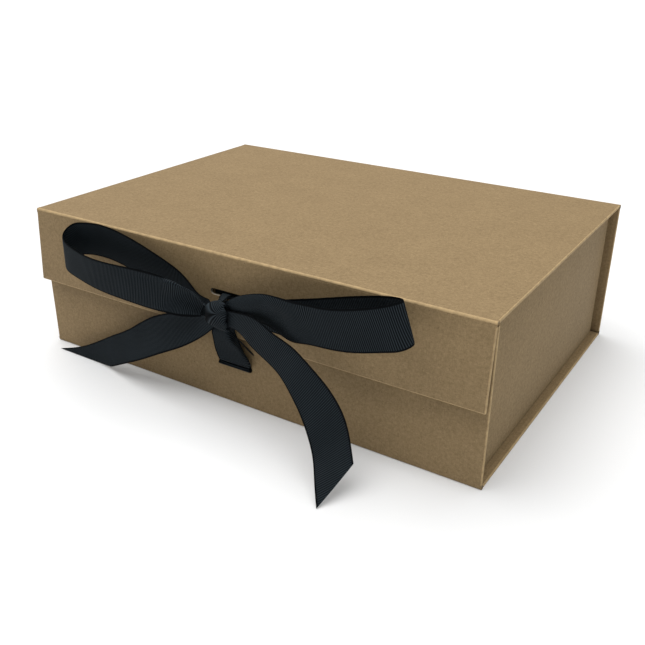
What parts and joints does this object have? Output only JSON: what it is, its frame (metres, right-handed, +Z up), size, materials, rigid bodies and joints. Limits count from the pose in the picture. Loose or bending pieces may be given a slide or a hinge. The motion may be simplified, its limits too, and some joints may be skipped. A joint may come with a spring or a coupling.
{
  "type": "gift box",
  "caption": "Shallow rectangular kraft-covered board gift box with a hinged lid, closing flap and ribbon bow tied through slots in the front.",
  "frame": {"origin": "centre of the case's underside, on the plane the box stands on", "axes": "+Z up, +X along the long side to the viewer's right, -Y towards the front with the flap and bow"},
  "size_m": [0.33, 0.292, 0.1101],
  "materials": {
    "greyboard": "solid recycled greyboard",
    "kraft": "matt brown kraft paper with fine fibre flecks",
    "kraft_inside": "smooth brown kraft paper",
    "plate": "bare steel disc",
    "tape": "double-sided adhesive tape",
    "grosgrain": "black ribbed grosgrain ribbon with a plain selvedge",
    "magnet": "nickel-plated disc"
  },
  "bodies": {
    "tray": {"base_board": "greyboard", "base_wrap": "kraft", "base_liner": "kraft_inside", "front_board": "greyboard", "front_wrap": "kraft", "front_liner": "kraft_inside", "spine_board": "greyboard", "spine_wrap": "kraft", "spine_liner": "kraft_inside", "left_side_board": "greyboard", "left_side_wrap": "kraft", "left_side_liner": "kraft_inside", "right_side_board": "greyboard", "right_side_wrap": "kraft", "right_side_liner": "kraft_inside", "front_plate_left": "plate", "front_plate_right": "plate", "front_fold": "kraft", "back_fold": "kraft", "lid_fold": "kraft", "tab_front_left": "kraft_inside", "tab_back_left": "kraft_inside", "tape_front_left": "tape", "tape_back_left": "tape", "hinge_left": "kraft_inside", "tab_front_right": "kraft_inside", "tab_back_right": "kraft_inside", "tape_front_right": "tape", "tape_back_right": "tape", "hinge_right": "kraft_inside", "ribbon_run": "grosgrain"},
    "lid": {"lid_board": "greyboard", "lid_wrap": "kraft", "lid_liner": "kraft_inside", "flap_fold": "kraft"},
    "flap": {"flap_board": "greyboard", "flap_wrap": "kraft", "flap_liner": "kraft_inside", "flap_magnet_left": "magnet", "flap_magnet_right": "magnet", "ribbon_lower_leg": "grosgrain", "ribbon_upper_leg": "grosgrain", "ribbon_knot": "grosgrain", "ribbon_loop_left": "grosgrain", "ribbon_loop_right": "grosgrain", "ribbon_tail_left": "grosgrain", "ribbon_tail_right": "grosgrain"}
  },
  "joints": [
    {"name": "lid_hinge", "type": "hinge", "parent": "tray", "child": "lid", "pos_m": [0, 0.1146, 0.0996], "axis": [-1, 0, 0], "range_deg": [0, 180], "deforming": ["lid_fold"]},
    {"name": "flap_hinge", "type": "hinge", "parent": "lid", "child": "flap", "pos_m": [0, -0.1146, 0.0996], "axis": [-1, 0, 0], "range_deg": [0, 90], "deforming": ["flap_fold"]}
  ]
}
